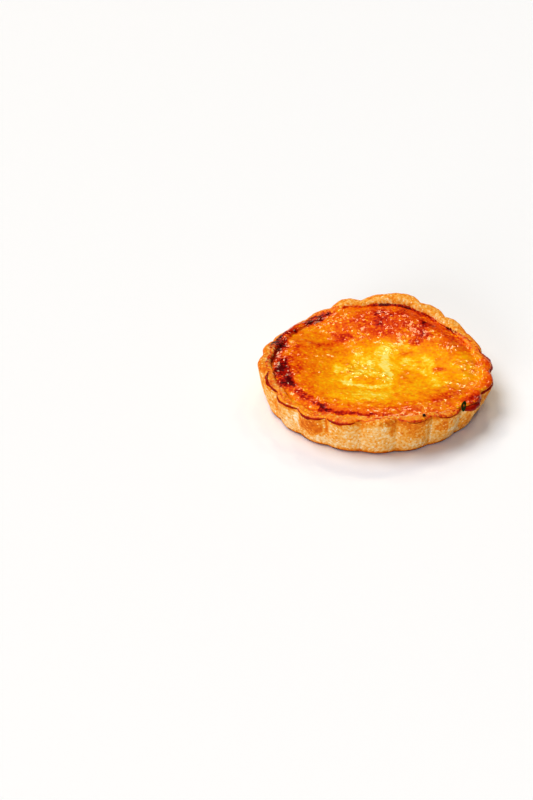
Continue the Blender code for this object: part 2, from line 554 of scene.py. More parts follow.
# %% Custard material
custard_skin, tree = new_material("custard_skin")
place = object_place(tree)
browned = painted(tree, "browned")
veins = spread(abs(cloud(place, 7.0 * MM, 3.0, 41.0)), 0.0, 0.1, 1.0, 0.0)
veins = veins * spread(browned, 0.22, 0.42, 1.0, 0.0)
moist = painted(tree, "moist") * spread(cloud(place, 2.0 * MM, 1.0, 42.0), -0.12, 0.04,
                                         0.0, 0.7)
# the pale pimples on the skin are partly painted glints
skin = use_group(tree, skin_group, Browned=browned - veins * 0.12 + moist * 0.05,
                 Proud=painted(tree, "proud"),
                 Speckle=spread(browned, 0.5, 0.8, 0.2, 0.24),
                 Pimples=spread(browned, 0.3, 0.6, 0.08, 0.34)
                 * spread(browned, 0.75, 0.95, 1.0, 0.4))
set_shader(custard_skin, Base_Color=skin["Color"],
           Roughness=spread(skin["Heat"], 0.8, 1.05, 0.12, 0.08),
           Specular_IOR_Level=0.3, Specular_Tint=(1.0, 0.67, 0.42, 1.0),
           Coat_Weight=moist, Coat_Roughness=0.06,
           Normal=grain_normal(tree, 1.0, 0.0, 0.02 * MM))

# %% [markdown]
# ### The pastry
# Shortcrust is dry and matt: a pale biscuit colour with lighter flour specks, which the
# oven toasts to amber in patches and along the thin edge. Where custard ran over the rim
# the egg baked on as a glossy glaze, so there the shared skin colours take over. Two
# materials would part along the edges of faces; a painted mask in one ends where it should.

# %% Pastry material
shortcrust, tree = new_material("baked_shortcrust")
place = object_place(tree)
toast_and_foot_shade, glazed, crumb = [painted(tree, label) for label in ("toast_and_foot_shade", "glazed", "crumb")]
mottle = cloud(place, 3.2 * MM, 3.0, 11.0)
speckle = cloud(place, 1.1 * MM, 1.0, 12.0)
fleck = bubbles(place, 1.1 * MM, 0.12, 0.42, 13.0)
# the toasting read here also carries the foot's painted contact shade
toast_and_shade = toast_and_foot_shade + mottle * 0.2 + speckle * 0.5 - crumb * 0.08 - fleck * 0.4 + 0.45
crust_colour = ramp(toast_and_shade * 0.7, (
    (0.00, linear(255, 238, 208)),
    (0.14, linear(253, 218, 164)),
    (0.27, linear(250, 190, 104)),
    (0.39, linear(246, 158, 44)),
    (0.51, linear(236, 122, 8)),
    (0.66, linear(220, 98, 4)),
    (0.78, linear(200, 82, 6)),
    (1.00, linear(104, 44, 10))))
# the pale pimples on the glazed rim are partly painted glints
skin = use_group(tree, skin_group, Browned=painted(tree, "browned"), Proud=crumb,
                 Speckle=0.3, Pimples=0.4)
cover = spread(glazed + speckle * 0.5 + mottle * 0.2, 0.3, 0.7)
set_shader(shortcrust, Base_Color=tint(cover, crust_colour, skin["Color"]),
           Roughness=blend(cover, 0.82, 0.26),
           Specular_IOR_Level=0.2, Specular_Tint=(1.0, 0.85, 0.62, 1.0),
           Normal=grain_normal(tree, 1.0, 0.8, 0.26 * MM))

# %% [markdown]
# ### Caramel
# Sugar and egg that boiled over the rim burnt to a dark, glossy, ruby-brown bead. It could be
# made like red glass, but so little light comes through a bead this dark that an opaque
# deep red with a low roughness does the same and renders cleanly.

# %% Caramel material
caramel, tree = new_material("caramel")
shade = cloud(object_place(tree), 1.8 * MM, 2.0, 21.0) * 0.5 + 0.5
caramel_colour = ramp(shade, (
    (0.15, linear(104, 2, 0)),
    (0.5, linear(156, 6, 0)),
    (0.85, linear(194, 40, 0))))
set_shader(caramel, Base_Color=caramel_colour, Roughness=spread(shade, 0.2, 0.8, 0.14, 0.3),
           Specular_IOR_Level=0.1, Specular_Tint=(1.0, 0.5, 0.2, 1.0),
           Normal=grain_normal(tree, 0.6, 0.3, 0.1 * MM))

# %% [markdown]
# ### Herb, char and floor
# The herb is a dark, waxy green with paler patches, the crumb is char, and the floor a plain
# pale sheet. Herb and crumb are a few millimetres long, so there is nothing to be won by
# drawing veins or pores: a short ramp over soft noise gives all the change that shows.

# %% Small materials
herb_green, tree = new_material("herb_green")
leaf = cloud(object_place(tree), 0.8 * MM, 2.0, 31.0) * 0.5 + 0.5
herb_colour = ramp(leaf, (
    (0.3, linear(0, 10, 2)),
    (0.55, linear(0, 40, 4)),
    (0.8, linear(24, 84, 16))))
set_shader(herb_green, Base_Color=herb_colour, Roughness=spread(leaf, 0.2, 0.8, 0.35, 0.55),
           Specular_IOR_Level=0.05, Normal=grain_normal(tree, 0.5, 0.5, 0.05 * MM))

char, tree = new_material("char")
soot = cloud(object_place(tree), 0.4 * MM, 1.0, 41.0) * 0.5 + 0.5
char_colour = ramp(soot, ((0.3, linear(12, 8, 10)), (0.8, linear(52, 22, 14))))
set_shader(char, Base_Color=char_colour, Roughness=0.7, Specular_IOR_Level=0.1,
           Normal=grain_normal(tree, 1.0, 1.0, 0.1 * MM))

pale_floor = new_material("pale_floor")[0]
set_shader(pale_floor, Base_Color=(0.955, 0.962, 1.0, 1.0), Roughness=0.55,
           Specular_IOR_Level=0.3)

# %% Floor
FLOOR_HALF = 3.0
floor_mesh = bpy.data.meshes.new("floor")
floor_mesh.from_pydata([(x * FLOOR_HALF, y * FLOOR_HALF, 0.0)
                        for x, y in ((-1, -1), (1, -1), (1, 1), (-1, 1))], [], [(0, 1, 2, 3)])
floor_mesh.materials.append(pale_floor)
floor = new_object("floor", floor_mesh)
print("floor:", 2.0 * FLOOR_HALF, "m square")

# %% [markdown]
# ## The pastry case
# A fluted tin presses the dough into outward lobes between sharp creases. The lobes are
# deepest at the rim and fade towards the foot, and because the case was lined by hand its
# rim wanders in and out and up and down. That is a shape with a rule, so Geometry Nodes
# make it: a section is swept round a circle, the rule moves each point to where the tin
# and the hand put it, and noise along the normals then gives the wall its crumb. A lathe
# (the Screw modifier) would give the plain bowl, but not the flutes and their fading.

# %% Sizes of the case
FOOT_RADIUS = 42.1 * MM
RIM_RADIUS = 45.1 * MM
RIM_HEIGHT = 14.9 * MM
WALL = 5.0 * MM
FLOOR = 3.5 * MM
WALL_BULGE = 0.5 * MM
CUP_FOOT = FOOT_RADIUS - WALL
CUP_SLOPE = (RIM_RADIUS - FOOT_RADIUS) / RIM_HEIGHT
CUP_ROUND = 2.0 * MM
INNER_ROUND = 1.6 * MM
OUTER_ROUND = 1.4 * MM
FOOT_ROUND = 0.8 * MM
# below this height the custard hides the inner wall, so its points can be far apart
HIDDEN_BELOW = 8.0 * MM

FLUTES = 21
FIRST_CREASE = -147.5
# the hand shifted the flutes round the case by this many degrees, most at this angle
FLUTE_SHIFT = 4.2
MOST_SHIFTED = 37.0
# the share of the flutes' depth that shows on the inner wall
FLUTE_SHOWN_INSIDE = 0.25
# the floor inside this radius stays flat, and outside the second one all is pressed
PRESSED_FROM = (10.0 * MM, 34.0 * MM)
# {times round: (size, angle of the crest in degrees)}
RADIUS_WAVES = {1: (0.4 * MM, 0.0), 2: (0.8 * MM, -75.0), 3: (1.0 * MM, -25.0)}
HEIGHT_WAVES = {1: (0.3 * MM, 90.0), 2: (1.3 * MM, 63.0), 3: (1.6 * MM, 54.0),
                4: (0.7 * MM, -4.0)}
# centre and half width in degrees, then how far the rim swells out and up
RIM_SWELLS = (
    (-8.0, 24.0, 1.3 * MM, 0.4 * MM),
    (74.0, 21.0, 1.0 * MM, 1.2 * MM),
    (103.0, 10.0, 0.7 * MM, 0.9 * MM),
    (142.0, 32.0, -0.5 * MM, -0.7 * MM),
    (183.0, 26.0, 1.2 * MM, 0.0),
)
# centre and half width in degrees, then the share of the flutes' depth that is lost
FLAT_SPOTS = ((78.0, 12.0, 1.0), (142.0, 48.0, 0.9), (24.0, 26.0, 0.8))
print("case:", FLUTES, "flutes,", round(RIM_RADIUS / MM, 1), "mm radius at the rim")

# %% The section of the case
def line(start, end, spacing):
    """Points from start up to but not including end, about this far apart."""
    count = max(1, round(math.dist(start, end) / spacing))
    return [tuple(a + (b - a) * i / count for a, b in zip(start, end)) for i in range(count)]


def arc(centre, radius, start, end, spacing):
    """Points on an arc from start up to but not including end, in degrees."""
    count = max(2, round(abs(math.radians(end - start)) * radius / spacing))
    turns = [math.radians(start + (end - start) * i / count) for i in range(count)]
    return [(centre[0] + radius * math.cos(t), centre[1] + radius * math.sin(t))
            for t in turns]


def case_section():
    """(radius, height) from the middle of the floor inside, over the rim, to the foot."""
    fine, medium, coarse = 0.28 * MM, 1.0 * MM, 5.0 * MM
    cup = CUP_FOOT + CUP_SLOPE * (FLOOR + CUP_ROUND)
    low = (CUP_FOOT + CUP_SLOPE * HIDDEN_BELOW, HIDDEN_BELOW)
    inner_top = RIM_RADIUS - WALL
    top = RIM_HEIGHT - INNER_ROUND
    corner = (RIM_RADIUS - OUTER_ROUND, RIM_HEIGHT - OUTER_ROUND)
    points = line((0.0, FLOOR), (cup - CUP_ROUND, FLOOR), coarse)
    points += arc((cup - CUP_ROUND, FLOOR + CUP_ROUND), CUP_ROUND, -90.0, -8.0, 0.8 * medium)
    points += line((cup, FLOOR + CUP_ROUND), low, medium)
    points += line(low, (inner_top, top), fine)
    points += arc((inner_top + INNER_ROUND, top), INNER_ROUND, 180.0, 90.0, fine)
    points += line((inner_top + INNER_ROUND, RIM_HEIGHT), (corner[0], RIM_HEIGHT), fine)
    points += arc(corner, OUTER_ROUND, 90.0, 0.0, fine)
    steps = round((corner[1] - FOOT_ROUND) / fine)
    for i in range(steps):
        height = corner[1] + (FOOT_ROUND - corner[1]) * i / steps
        share = height / RIM_HEIGHT
        bulge = WALL_BULGE * math.sin(math.pi * share)
        points.append((FOOT_RADIUS + (RIM_RADIUS - FOOT_RADIUS) * share + bulge, height))
    points += arc((FOOT_RADIUS - FOOT_ROUND, FOOT_ROUND), FOOT_ROUND, 0.0, -90.0, fine)
    points += line((FOOT_RADIUS - FOOT_ROUND, 0.0), (0.0, 0.0), coarse)
    return points + [(0.0, 0.0)]


section = np.array(case_section())
# past_edge tells how far past the outer corner each point is, walking along the section
walked = np.concatenate([[0.0], np.cumsum(np.hypot(*np.diff(section, axis=0).T))])
outer_corner = int(np.argmax(section.sum(axis=1)))
past_edge = walked - walked[outer_corner]
print("section points:", len(section), "- the outer corner is point", outer_corner)

# %% The rule that presses the flutes
AROUND = 720


def near(angle, centre, half_width):
    """The bell as nodes: 1 at the centre angle, 0 at half_width degrees from it."""
    away = abs(calc("WRAP", angle - centre, 180.0, -180.0))
    return spread(away, 0.0, half_width, 1.0, 0.0)


def waves(angle, table):
    """Sum of the cosine waves in a table of {times round: (size, crest angle)}."""
    total = 0.0
    for times, (size, crest) in table.items():
        total = total + calc("COSINE", (angle - crest) * math.radians(times)) * size
    return total


def press(place, sizes):
    """Move a point of the swept section to where the tin and the hand put it."""
    x, y, z = split(place)
    radius = calc("SQRT", x * x + y * y)
    turn = calc("ARCTAN2", y, x) * math.degrees(1.0)
    angle = turn + calc("COSINE", (turn - MOST_SHIFTED) * math.radians(1.0)) * FLUTE_SHIFT
    lean = waves(angle, RADIUS_WAVES)
    top = waves(angle, HEIGHT_WAVES) + RIM_HEIGHT
    for centre, half_width, out, up in RIM_SWELLS:
        swell = near(angle, centre, half_width)
        lean = lean + swell * out
        top = top + swell * up
    stretch = (top - FLOOR) / (RIM_HEIGHT - FLOOR) - 1.0
    height = z + calc("MAXIMUM", z - FLOOR, 0.0) * stretch
    share = calc("MINIMUM", height / top, 1.0)
    outer = share * (RIM_RADIUS - FOOT_RADIUS) + FOOT_RADIUS
    inner = spread((outer - radius) / WALL, 0.0, 1.0, kind="LINEAR")
    half_flute = (turn - FIRST_CREASE) * math.radians(FLUTES / 2.0)
    crease = 1.0 - abs(calc("SINE", half_flute))
    kept = 1.0
    for centre, half_width, lost in FLAT_SPOTS:
        kept = (1.0 - near(angle, centre, half_width) * lost) * kept
    depth = blend(share, sizes["Flute depth at foot"], sizes["Flute depth"])
    depth = depth * (1.0 - inner * (1.0 - FLUTE_SHOWN_INSIDE))
    kept = blend(share * share, 1.0, kept)
    mean_crease = 1.0 - 2.0 / math.pi
    shift = share * lean + depth * kept * (mean_crease - crease)
    radius = radius + shift * spread(radius, *PRESSED_FROM)
    turned = angle * math.radians(1.0)
    return join(radius * calc("COSINE", turned), radius * calc("SINE", turned), height)


print("creases are", round(360.0 / FLUTES, 1), "degrees apart")

# %% The geometry tree of the case
CASE_RELIEF = {"Flute depth": 2.3 * MM, "Flute depth at foot": 0.9 * MM,
               "Lumps": 0.4 * MM, "Crumb": 0.3 * MM, "Pits": 0.2 * MM}


def case_tree():
    """Sweep the section, press it, and give it lumps, crumb and pits."""
    tree, geometry, sizes = new_tree("Fluted pastry case", CASE_RELIEF)
    circle = tree.nodes.new("GeometryNodeCurvePrimitiveCircle")
    circle.inputs["Resolution"].default_value = AROUND
    circle.inputs["Radius"].default_value = FOOT_RADIUS
    section_curve = add_node("GeometryNodeMeshToCurve", geometry)[1]
    sweep, geometry = add_node("GeometryNodeCurveToMesh", Value(tree, circle.outputs[0]))
    feed(tree, sweep.inputs["Profile Curve"], section_curve)

    place = field(tree, "GeometryNodeInputPosition")
    geometry = move_points(geometry, "Position", press(place, sizes))

    lumps = cloud(place, 7.0 * MM, 2.0, 1.0)
    crumb = cloud(place, 1.6 * MM, 3.0, 2.0, 0.6)
    pits = bubbles(place, 2.4 * MM, 0.12, 0.3, 3.0) * spread(crumb, -0.1, 0.3)
    relief = lumps * sizes["Lumps"] + crumb * sizes["Crumb"] - pits * sizes["Pits"]
    geometry = store(geometry, "crumb", crumb - pits)
    off_foot = spread(split(place)[2], 0.2 * MM, 2.2 * MM)
    geometry = push_out(geometry, relief * off_foot)
    return end_tree(geometry, sizes["Material"])


section_mesh = bpy.data.meshes.new("section")
section_mesh.from_pydata([(r - FOOT_RADIUS, -z, 0.0) for r, z in section],
                         [(i, i + 1) for i in range(len(section) - 1)], [])
case = run_tree("pastry_case_baked", section_mesh, case_tree(), shortcrust, CASE_RELIEF)
case_points = points_of(case.data)
columns = case_points.reshape(AROUND, len(section), 3)
print("swept", AROUND, "columns of", len(section), "points")

# %% [markdown]
# ### Reading the rim
# The custard, the glaze and the caramel all follow the rim, so its line is measured on the
# finished case rather than worked out a second time. Each column of the sweep gives the
# rim's height, and where its inner wall meets the custard.

# %% Measure the rim
column_turn = turn_of(columns[:, outer_corner])
order = np.argsort(column_turn)
columns = columns[order]
column_turn = column_turn[order]
column_radius = np.hypot(columns[:, :, 0], columns[:, :, 1])


def round_average(values, half_width):
    """A running average round the ring, to take the crumb out of a measured line."""
    window = np.hanning(2 * half_width + 3)[1:-1]
    wrapped = np.concatenate([values[-half_width:], values, values[:half_width]])
    return np.convolve(wrapped, window / window.sum(), "valid")


def around(angle, values):
    """Read a value that is known at each column at any angles in degrees."""
    return np.interp(angle, column_turn, values, period=360.0)


rim_top = round_average(columns[:, :, 2].max(axis=1), 8)
print("rim height mm:", round(rim_top.min() / MM, 1), "to", round(rim_top.max() / MM, 1))

# %% Where the custard meets the case
# the edge of the custard is level, but for this share of the rim's ups and downs
LEVEL = 13.9 * MM
LEVEL_FOLLOWS = 0.25
EDGE_BELOW_RIM = 0.3 * MM
# where the rim is lower than this the custard ran over it, fully so a band further down
FLOODED_BELOW = 14.7 * MM
FLOODED_BAND = 1.5 * MM
# how far the edge puffs up at the back, then centre and half width in degrees of that
# stretch and of the one where the rim stayed dry
BACK_PUFF = 1.0 * MM
PUFFED_STRETCH = (68.0, 30.0)
DRY_STRETCH = (-132.0, 60.0)

custard_edge = LEVEL + LEVEL_FOLLOWS * (rim_top - rim_top.mean())
custard_edge = custard_edge + BACK_PUFF * bell(column_turn, *PUFFED_STRETCH)
custard_edge = round_average(np.minimum(custard_edge, rim_top - EDGE_BELOW_RIM), 14)
inner_wall = slice(4, outer_corner - 4)
meeting = np.array([np.interp(level, column[inner_wall, 2], radius[inner_wall])
                    for level, column, radius in zip(custard_edge, columns, column_radius)])
meeting = round_average(meeting, 6)
flooded = ease(FLOODED_BELOW - rim_top, 0.0, FLOODED_BAND)
flooded = round_average(flooded * (1.0 - bell(column_turn, *DRY_STRETCH)), 12)
print("custard edge mm:", round(custard_edge.min() / MM, 1), "to",
      round(custard_edge.max() / MM, 1), "- flooded share", round(flooded.mean(), 2))

# %% Where the glaze ends
# how far past the rim's outer corner the glaze ends (mm)
GLAZE_REACH = 0.3
# centre and half width (degrees), how much further down the wall the glaze ran (mm)
GLAZE_RUNS = (
    (-125, 8, 0.2), (-107, 8, 0.2), (-146, 8, 0.5), (-37, 9, 2.6), (178, 32, -2.8),
    (142, 26, -1.6), (85, 52, -9.0), (48, 34, -6.0), (118, 20, -4.0), (22, 22, -1.6),
    (-88, 9, -2.6), (-60, 12, -0.3),
)


def glaze_reach(angle):
    """Where the glaze ends past the outer corner, in metres; inwards is negative."""
    return (GLAZE_REACH + bells(angle, GLAZE_RUNS)) * MM


glaze_radius = np.array([np.interp(glaze_reach(turn), past_edge, radius)
                         for turn, radius in zip(column_turn, column_radius)])
glaze_radius = round_average(glaze_radius, 2)
print("glaze ends at radius mm:", round(glaze_radius.min() / MM, 1), "to",
      round(glaze_radius.max() / MM, 1))

# %% [markdown]
# ## Browning
# The oven browned this tart unevenly: yellow in the middle, orange in a ring, dark on the
# left where it stood nearest the heat. Each spot is an ellipse in millimetres with an
# amount of browning, and its outline is made ragged by shifting the points with noise
# before they are measured against it. The same function paints the custard and the glazed
# rim, so the colour runs on from one to the other.

# %% Browned spots
# x, y, half length, half width (mm), turn (degrees), amount of browning
BROWNED_SPOTS = (
    (9, 29, 21, 12, 0, 0.16), (5, 41.6, 7, 1.2, 0, 0.3), (15, 38.6, 5, 1.4, -24, 0.34),
    (-22, 34.4, 6.5, 2.5, 24, 0.44), (-33.4, 23.8, 7, 2.2, 52, 0.3), (-12, 20, 3.5, 2.5, 0, 0.26),
    (-19, 15, 5, 2.2, 10, 0.14), (3.5, 31, 2.2, 6, 0, 0.2), (13, 34, 3, 3.4, -20, 0.1),
    (22, 26, 3.6, 2, 0, 0.26), (20, 19.4, 2.8, 3, 0, 0.26), (17.5, 14.8, 3.6, 1.6, 8, 0.22),
    (33, 24, 5, 2, -48, 0.3), (29, 19, 4, 3, -30, 0.1), (34.5, 14, 1.8, 6, 10, 0.1),
    (-37, 13, 2.8, 8, -8, 0.34), (-36.5, 0, 4, 6, 0, 0.34), (-35.5, -8, 3.6, 6, 6, 0.3),
    (-33.8, -15, 3, 3.6, 14, 0.46), (-29.5, -5, 1.6, 4, 0, 0.14), (-29.5, 9, 1.8, 6, 6, 0.12),
    (-28, -23, 2.2, 5, 40, 0.3), (-22, -30.6, 4.4, 1.6, -38, 0.48),
    (-13.5, -35, 5.5, 1.5, -14, 0.4), (-6, -36.8, 5, 1.0, -6, 0.26), (5, -37.2, 9, 0.8, 0, 0.16),
    (-30, -28.5, 6, 1.4, -48, -0.14), (-12, -38, 9, 1.2, -12, -0.14),
    (10, -33.5, 9, 1.2, 0, 0.1), (25, -24.4, 6, 2.4, 28, 0.18), (5, -26.5, 17, 3.6, 2, -0.1),
    (-3, -28, 3, 1.4, -20, 0.14), (37.5, -25.5, 5, 3.5, 35, 0.28), (44.5, -12, 2, 8, -14, 0.14),
    (45, 2, 2, 7, 8, 0.14), (12, 6.8, 2.8, 2, 0, 0.2), (25.4, -3.8, 1.8, 1.8, 0, 0.24),
    (13, -10, 8, 6, 0, 0.14), (-3, -11.5, 5, 2.6, -10, 0.1), (-12, 5, 5, 4, 0, 0.06),
    (4.2, 8, 2.4, 5, -6, -0.2), (5, -1, 2.4, 6, 6, -0.2), (5.6, -9, 2, 4, -6, -0.16),
    (1.5, -16, 4, 1.4, 8, -0.2), (-6.4, -15.4, 4, 1.2, -14, -0.22),
    (-11, -12.7, 3.4, 1.4, -30, -0.2), (-14.4, -2, 1.3, 5, 0, -0.16),
    (21.6, 1, 1.5, 4.5, 14, -0.16), (20, -5, 2.4, 2, 0, -0.14), (24, -15.5, 5, 1.4, 25, -0.18),
    (9, 13, 8, 1.4, -10, -0.1), (-14, -25, 7, 1.6, -25, -0.1), (-2, -22.5, 7, 1.2, 4, -0.1),
    (36, -4, 6, 11, 0, -0.15), (-5, -1, 7, 6, 0, -0.06),
    (-8, -24, 13, 4.5, -8, -0.15), (-22, 23, 7, 7, 0, -0.05),
    (-19, -14, 5, 6, 0, -0.07), (24, -13, 8, 7, 20, -0.06),
)
# the pale middle: x, y, half length, half width (mm)
PALE_MIDDLE = (5.0, -4.5, 22.0, 18.5)
# browning away from it, where distance 1 is its outline
DISTANCES = (0.0, 0.6, 0.9, 1.1, 1.4, 1.8, 2.0, 2.4)
BROWNED_OUTWARDS = (0.25, 0.27, 0.32, 0.42, 0.51, 0.54, 0.52, 0.48)
# a spot has faded out at the first of these distances, in its half widths, and is full
# inside the second
SPOT_FADE = (1.5, 0.4)
# centre and half width (degrees), how dark the line is where the custard meets the crust
SEAM_STRETCHES = (
    (-125, 34, 0.1), (-82, 30, 0.1), (70, 46, 0.2), (130, 30, 0.16), (158, 26, 0.2),
)


def seam_at(points):
    """The dark line along the meeting of custard and crust."""
    turn = turn_of(points)
    inset, wander, half_width = 0.3 * MM, 0.5 * MM, 0.8 * MM
    away = np.hypot(points[:, 0], points[:, 1]) - around(turn, meeting) + inset
    away = away + rough_noise(points, 4.0 * MM, 7) * wander
    return bells(turn, SEAM_STRETCHES) * np.exp(-(away / half_width) ** 2)


def browned_at(points):
    """How browned the skin is at each point, from 0, pale, to 1, black."""
    wander = 1.5 * MM
    x, y = [(points[:, axis] + rough_noise(points, 5.0 * MM, axis + 1) * wander) / MM
            for axis in (0, 1)]
    middle_x, middle_y, half_length, half_width = PALE_MIDDLE
    outwards = np.hypot((x - middle_x) / half_length, (y - middle_y) / half_width)
    total = np.interp(outwards, DISTANCES, BROWNED_OUTWARDS)
    for spot_x, spot_y, length, width, turn, amount in BROWNED_SPOTS:
        cos, sin = math.cos(math.radians(turn)), math.sin(math.radians(turn))
        along = ((x - spot_x) * cos + (y - spot_y) * sin) / length
        across = ((y - spot_y) * cos - (x - spot_x) * sin) / width
        total = total + amount * ease(np.hypot(along, across), *SPOT_FADE)
    return total + seam_at(points)


print("browning:", len(BROWNED_SPOTS), "spots round a pale middle")

# %% [markdown]
# ### Painting the case
# The rim is glazed where custard ran over it, and the glaze ends in a dark line. The inner
# wall is stained just above the custard, deepest at the left. The outer wall is toasted in
# patches. Its foot is browned all round, partly as real browning from the hot tin and partly
# as painted shade where it meets the floor, and the flat underside takes the same dark colour.

# %% Paint the case
# centre angle, height (mm), half width (degrees), half height (mm), amount of toasting
TOASTED_SPOTS = (
    (-125, 9, 7.5, 4.5, 0.42), (-116.5, 10.5, 1.3, 3.5, 0.34), (-83, 12, 1.4, 4, 0.24),
    (-73, 11, 8, 4.5, 0.2), (-56, 10, 4.5, 3, 0.3), (-150, 8, 6, 4, 0.2),
    (-98, 12, 3, 3, 0.1), (-40, 6, 4, 4, 0.2), (-95, 7, 11, 7, -0.04),
    (-134, 9, 2, 6, -0.3), (-90, 14, 5, 3, -0.16), (-47, 6, 2.2, 5, -0.16),
    (-140, 5, 6, 5, -0.12), (-72, 4, 5, 3, -0.1), (-118, 3, 9, 2.5, -0.15),
    (-51, 5, 3, 4, -0.14),
    (20, 9, 9, 5, 0.22), (64, 7, 7, 4, 0.25), (118, 9, 9, 4, 0.25), (160, 7, 8, 4, 0.2),
    (-20, 8, 7, 4, 0.18), (45, 4, 8, 3, -0.15), (95, 6, 6, 5, -0.15), (140, 5, 8, 4, -0.15),
    (-168, 8, 6, 4, 0.2), (65, 17.5, 50, 4, -0.08),
)
TOAST_FADE = (1.4, 0.3)
# centre and half width (degrees) of the side where the inner wall is stained highest
BURNT_SIDE = (156.0, 44.0)
# how fully the rim is glazed where the custard did not run over it
DRY_GLAZE = 0.52
# the most that the glaze, and the dark line along its end, are browned
BROWNEST_GLAZE = 0.72
BROWNEST_END = 0.8
# the case is toasted from the first height (mm), fully so from the second, by an amount;
# the two lowest rows are real browning of the foot and partly painted contact shade,
# darker towards the floor
TOAST_AND_FOOT_SHADE_HEIGHTS = ((2.4, 1.0, 0.3), (1.1, 0.4, 0.7), (12.5, 15.0, 0.14))


def paint_case(mesh, points):
    """Glazed, browned and toasted, for every point of the case."""
    turn = turn_of(points)
    height = points[:, 2] / MM
    past = np.tile(past_edge, AROUND) / MM
    reach = glaze_reach(turn) / MM
    ragged = rough_noise(points, 3.0 * MM, 5)

    end_line = np.exp(-((past - reach + 0.3) / 0.6) ** 2)
    wet = blend(around(turn, flooded), DRY_GLAZE, 1.0)
    glazed = ease(past, reach + 0.5, reach - 0.7) * wet + 0.25 * end_line
    browned = np.minimum(browned_at(points) - 0.05 + 0.08 * ragged, BROWNEST_GLAZE)
    browned = np.minimum(browned + 0.24 * end_line, BROWNEST_END)

    burnt_side = bell(turn, *BURNT_SIDE)
    above_custard = height - around(turn, custard_edge) / MM
    inner_wall = past < -1.2
    stain = np.exp(-(above_custard / (0.8 + 2.0 * burnt_side)) ** 2) * inner_wall
    glazed = np.maximum(glazed, stain)
    browned = browned + (0.12 + 0.1 * burnt_side) * stain

    toast_and_foot_shade = 0.16 * np.exp(-(past / 1.6) ** 2)
    # toasting by height; the lowest rows paint shade on the foot, darker towards the floor
    for low, high, amount in TOAST_AND_FOOT_SHADE_HEIGHTS:
        toast_and_foot_shade = toast_and_foot_shade + amount * ease(height, low, high)
    for centre, spot_height, half_width, half_height, amount in TOASTED_SPOTS:
        outwards = np.hypot(turn_from(turn, centre) / half_width,
                            (height - spot_height) / half_height)
        toast_and_foot_shade = toast_and_foot_shade + amount * ease(outwards + 0.35 * ragged, *TOAST_FADE)
    paint(mesh, "glazed", glazed)
    paint(mesh, "browned", browned)
    paint(mesh, "toast_and_foot_shade", toast_and_foot_shade)
    print("case painted: glazed", round(float(glazed.mean()), 2))


paint_case(case.data, case_points)

# %% Close the poles and hand the case over
# the section starts and ends on the axis, so its end points there are merged into one
POLE_WELD = 0.002 * MM
turn_outwards(case.data, POLE_WELD)
report(case)
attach(case, "root")
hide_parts("pastry_case")
pastry_faces = BVHTree.FromPolygons(
    [v.co for v in case.data.vertices], [p.vertices for p in case.data.polygons])

# %% [markdown]
# ## The custard
# The custard puffs up as it bakes and sinks again in the middle as it cools, which leaves
# a raised, wrinkled ring, and a little valley where the skin pulled away from the crust.
# Where the rim is low it ran over and baked on as a film. A disc bent out of a square grid
# gives even cells everywhere and no pole in the middle; each point takes its height from
# the rim line measured above, and from a ray dropped on the pastry where the film lies.

# %% The disc
# the disc is twice this many cells across
HALF_CELLS = 142
# the raised ring: its height, its place as a share of the way to the crust, and the side
# (centre and half width in degrees) where this share of it is lost
CREST = 1.0 * MM
CREST_AT = 0.84
FLAT_SIDE = (176.0, 60.0)
FLAT_SIDE_LOST = 0.85
# the middle sank by this much, and is flat inside this share of the way
DISH = 1.5 * MM
DISH_FLAT = 0.36
VALLEY = 0.12 * MM
VALLEY_WIDTH = 1.3 * MM
# the film on the rim swells to its thickness from an edge that is sunk into the crust
FILM = 0.45 * MM
FILM_SWELL = 1.2 * MM
FILM_EDGE_SUNK = 0.35 * MM
FILM_EDGE = 0.6 * MM
# where the rim is dry the skin ends this far under the pastry's face
TUCK = 0.9 * MM
TUCK_DEPTH = 1.6 * MM


def disc_grid(half):
    """A square grid bent into a disc: angles, shares of the radius, quads, edge loop."""
    count = 2 * half + 1
    column, row = np.meshgrid(np.arange(-half, half + 1), np.arange(-half, half + 1))
    a, b = column.ravel() / half, row.ravel() / half
    wide = np.abs(a) > np.abs(b)
    share = np.where(wide, a, b)
    quarter = math.pi / 4.0
    ratio = np.divide(np.where(wide, b, a), share, out=np.zeros_like(a), where=share != 0)
    turn = np.where(wide, quarter * ratio, 2.0 * quarter - quarter * ratio)
    turn = np.where(share < 0, turn + math.pi, turn)
    index = np.arange(count * count).reshape(count, count)
    corners = (index[:-1, :-1], index[:-1, 1:], index[1:, 1:], index[1:, :-1])
    quads = np.stack(corners, axis=-1).reshape(-1, 4)
    loop = np.concatenate([index[0, :-1], index[:-1, -1], index[-1, :0:-1], index[:0:-1, 0]])
    return turn, np.abs(share), quads, loop


def ray_down(x, y):
    """The height of the pastry under a place, or 0 where there is none."""
    above, down = 30.0 * MM, Vector((0.0, 0.0, -1.0))
    hit = pastry_faces.ray_cast(Vector((x, y, above)), down)[0]
    return hit.z if hit is not None else 0.0


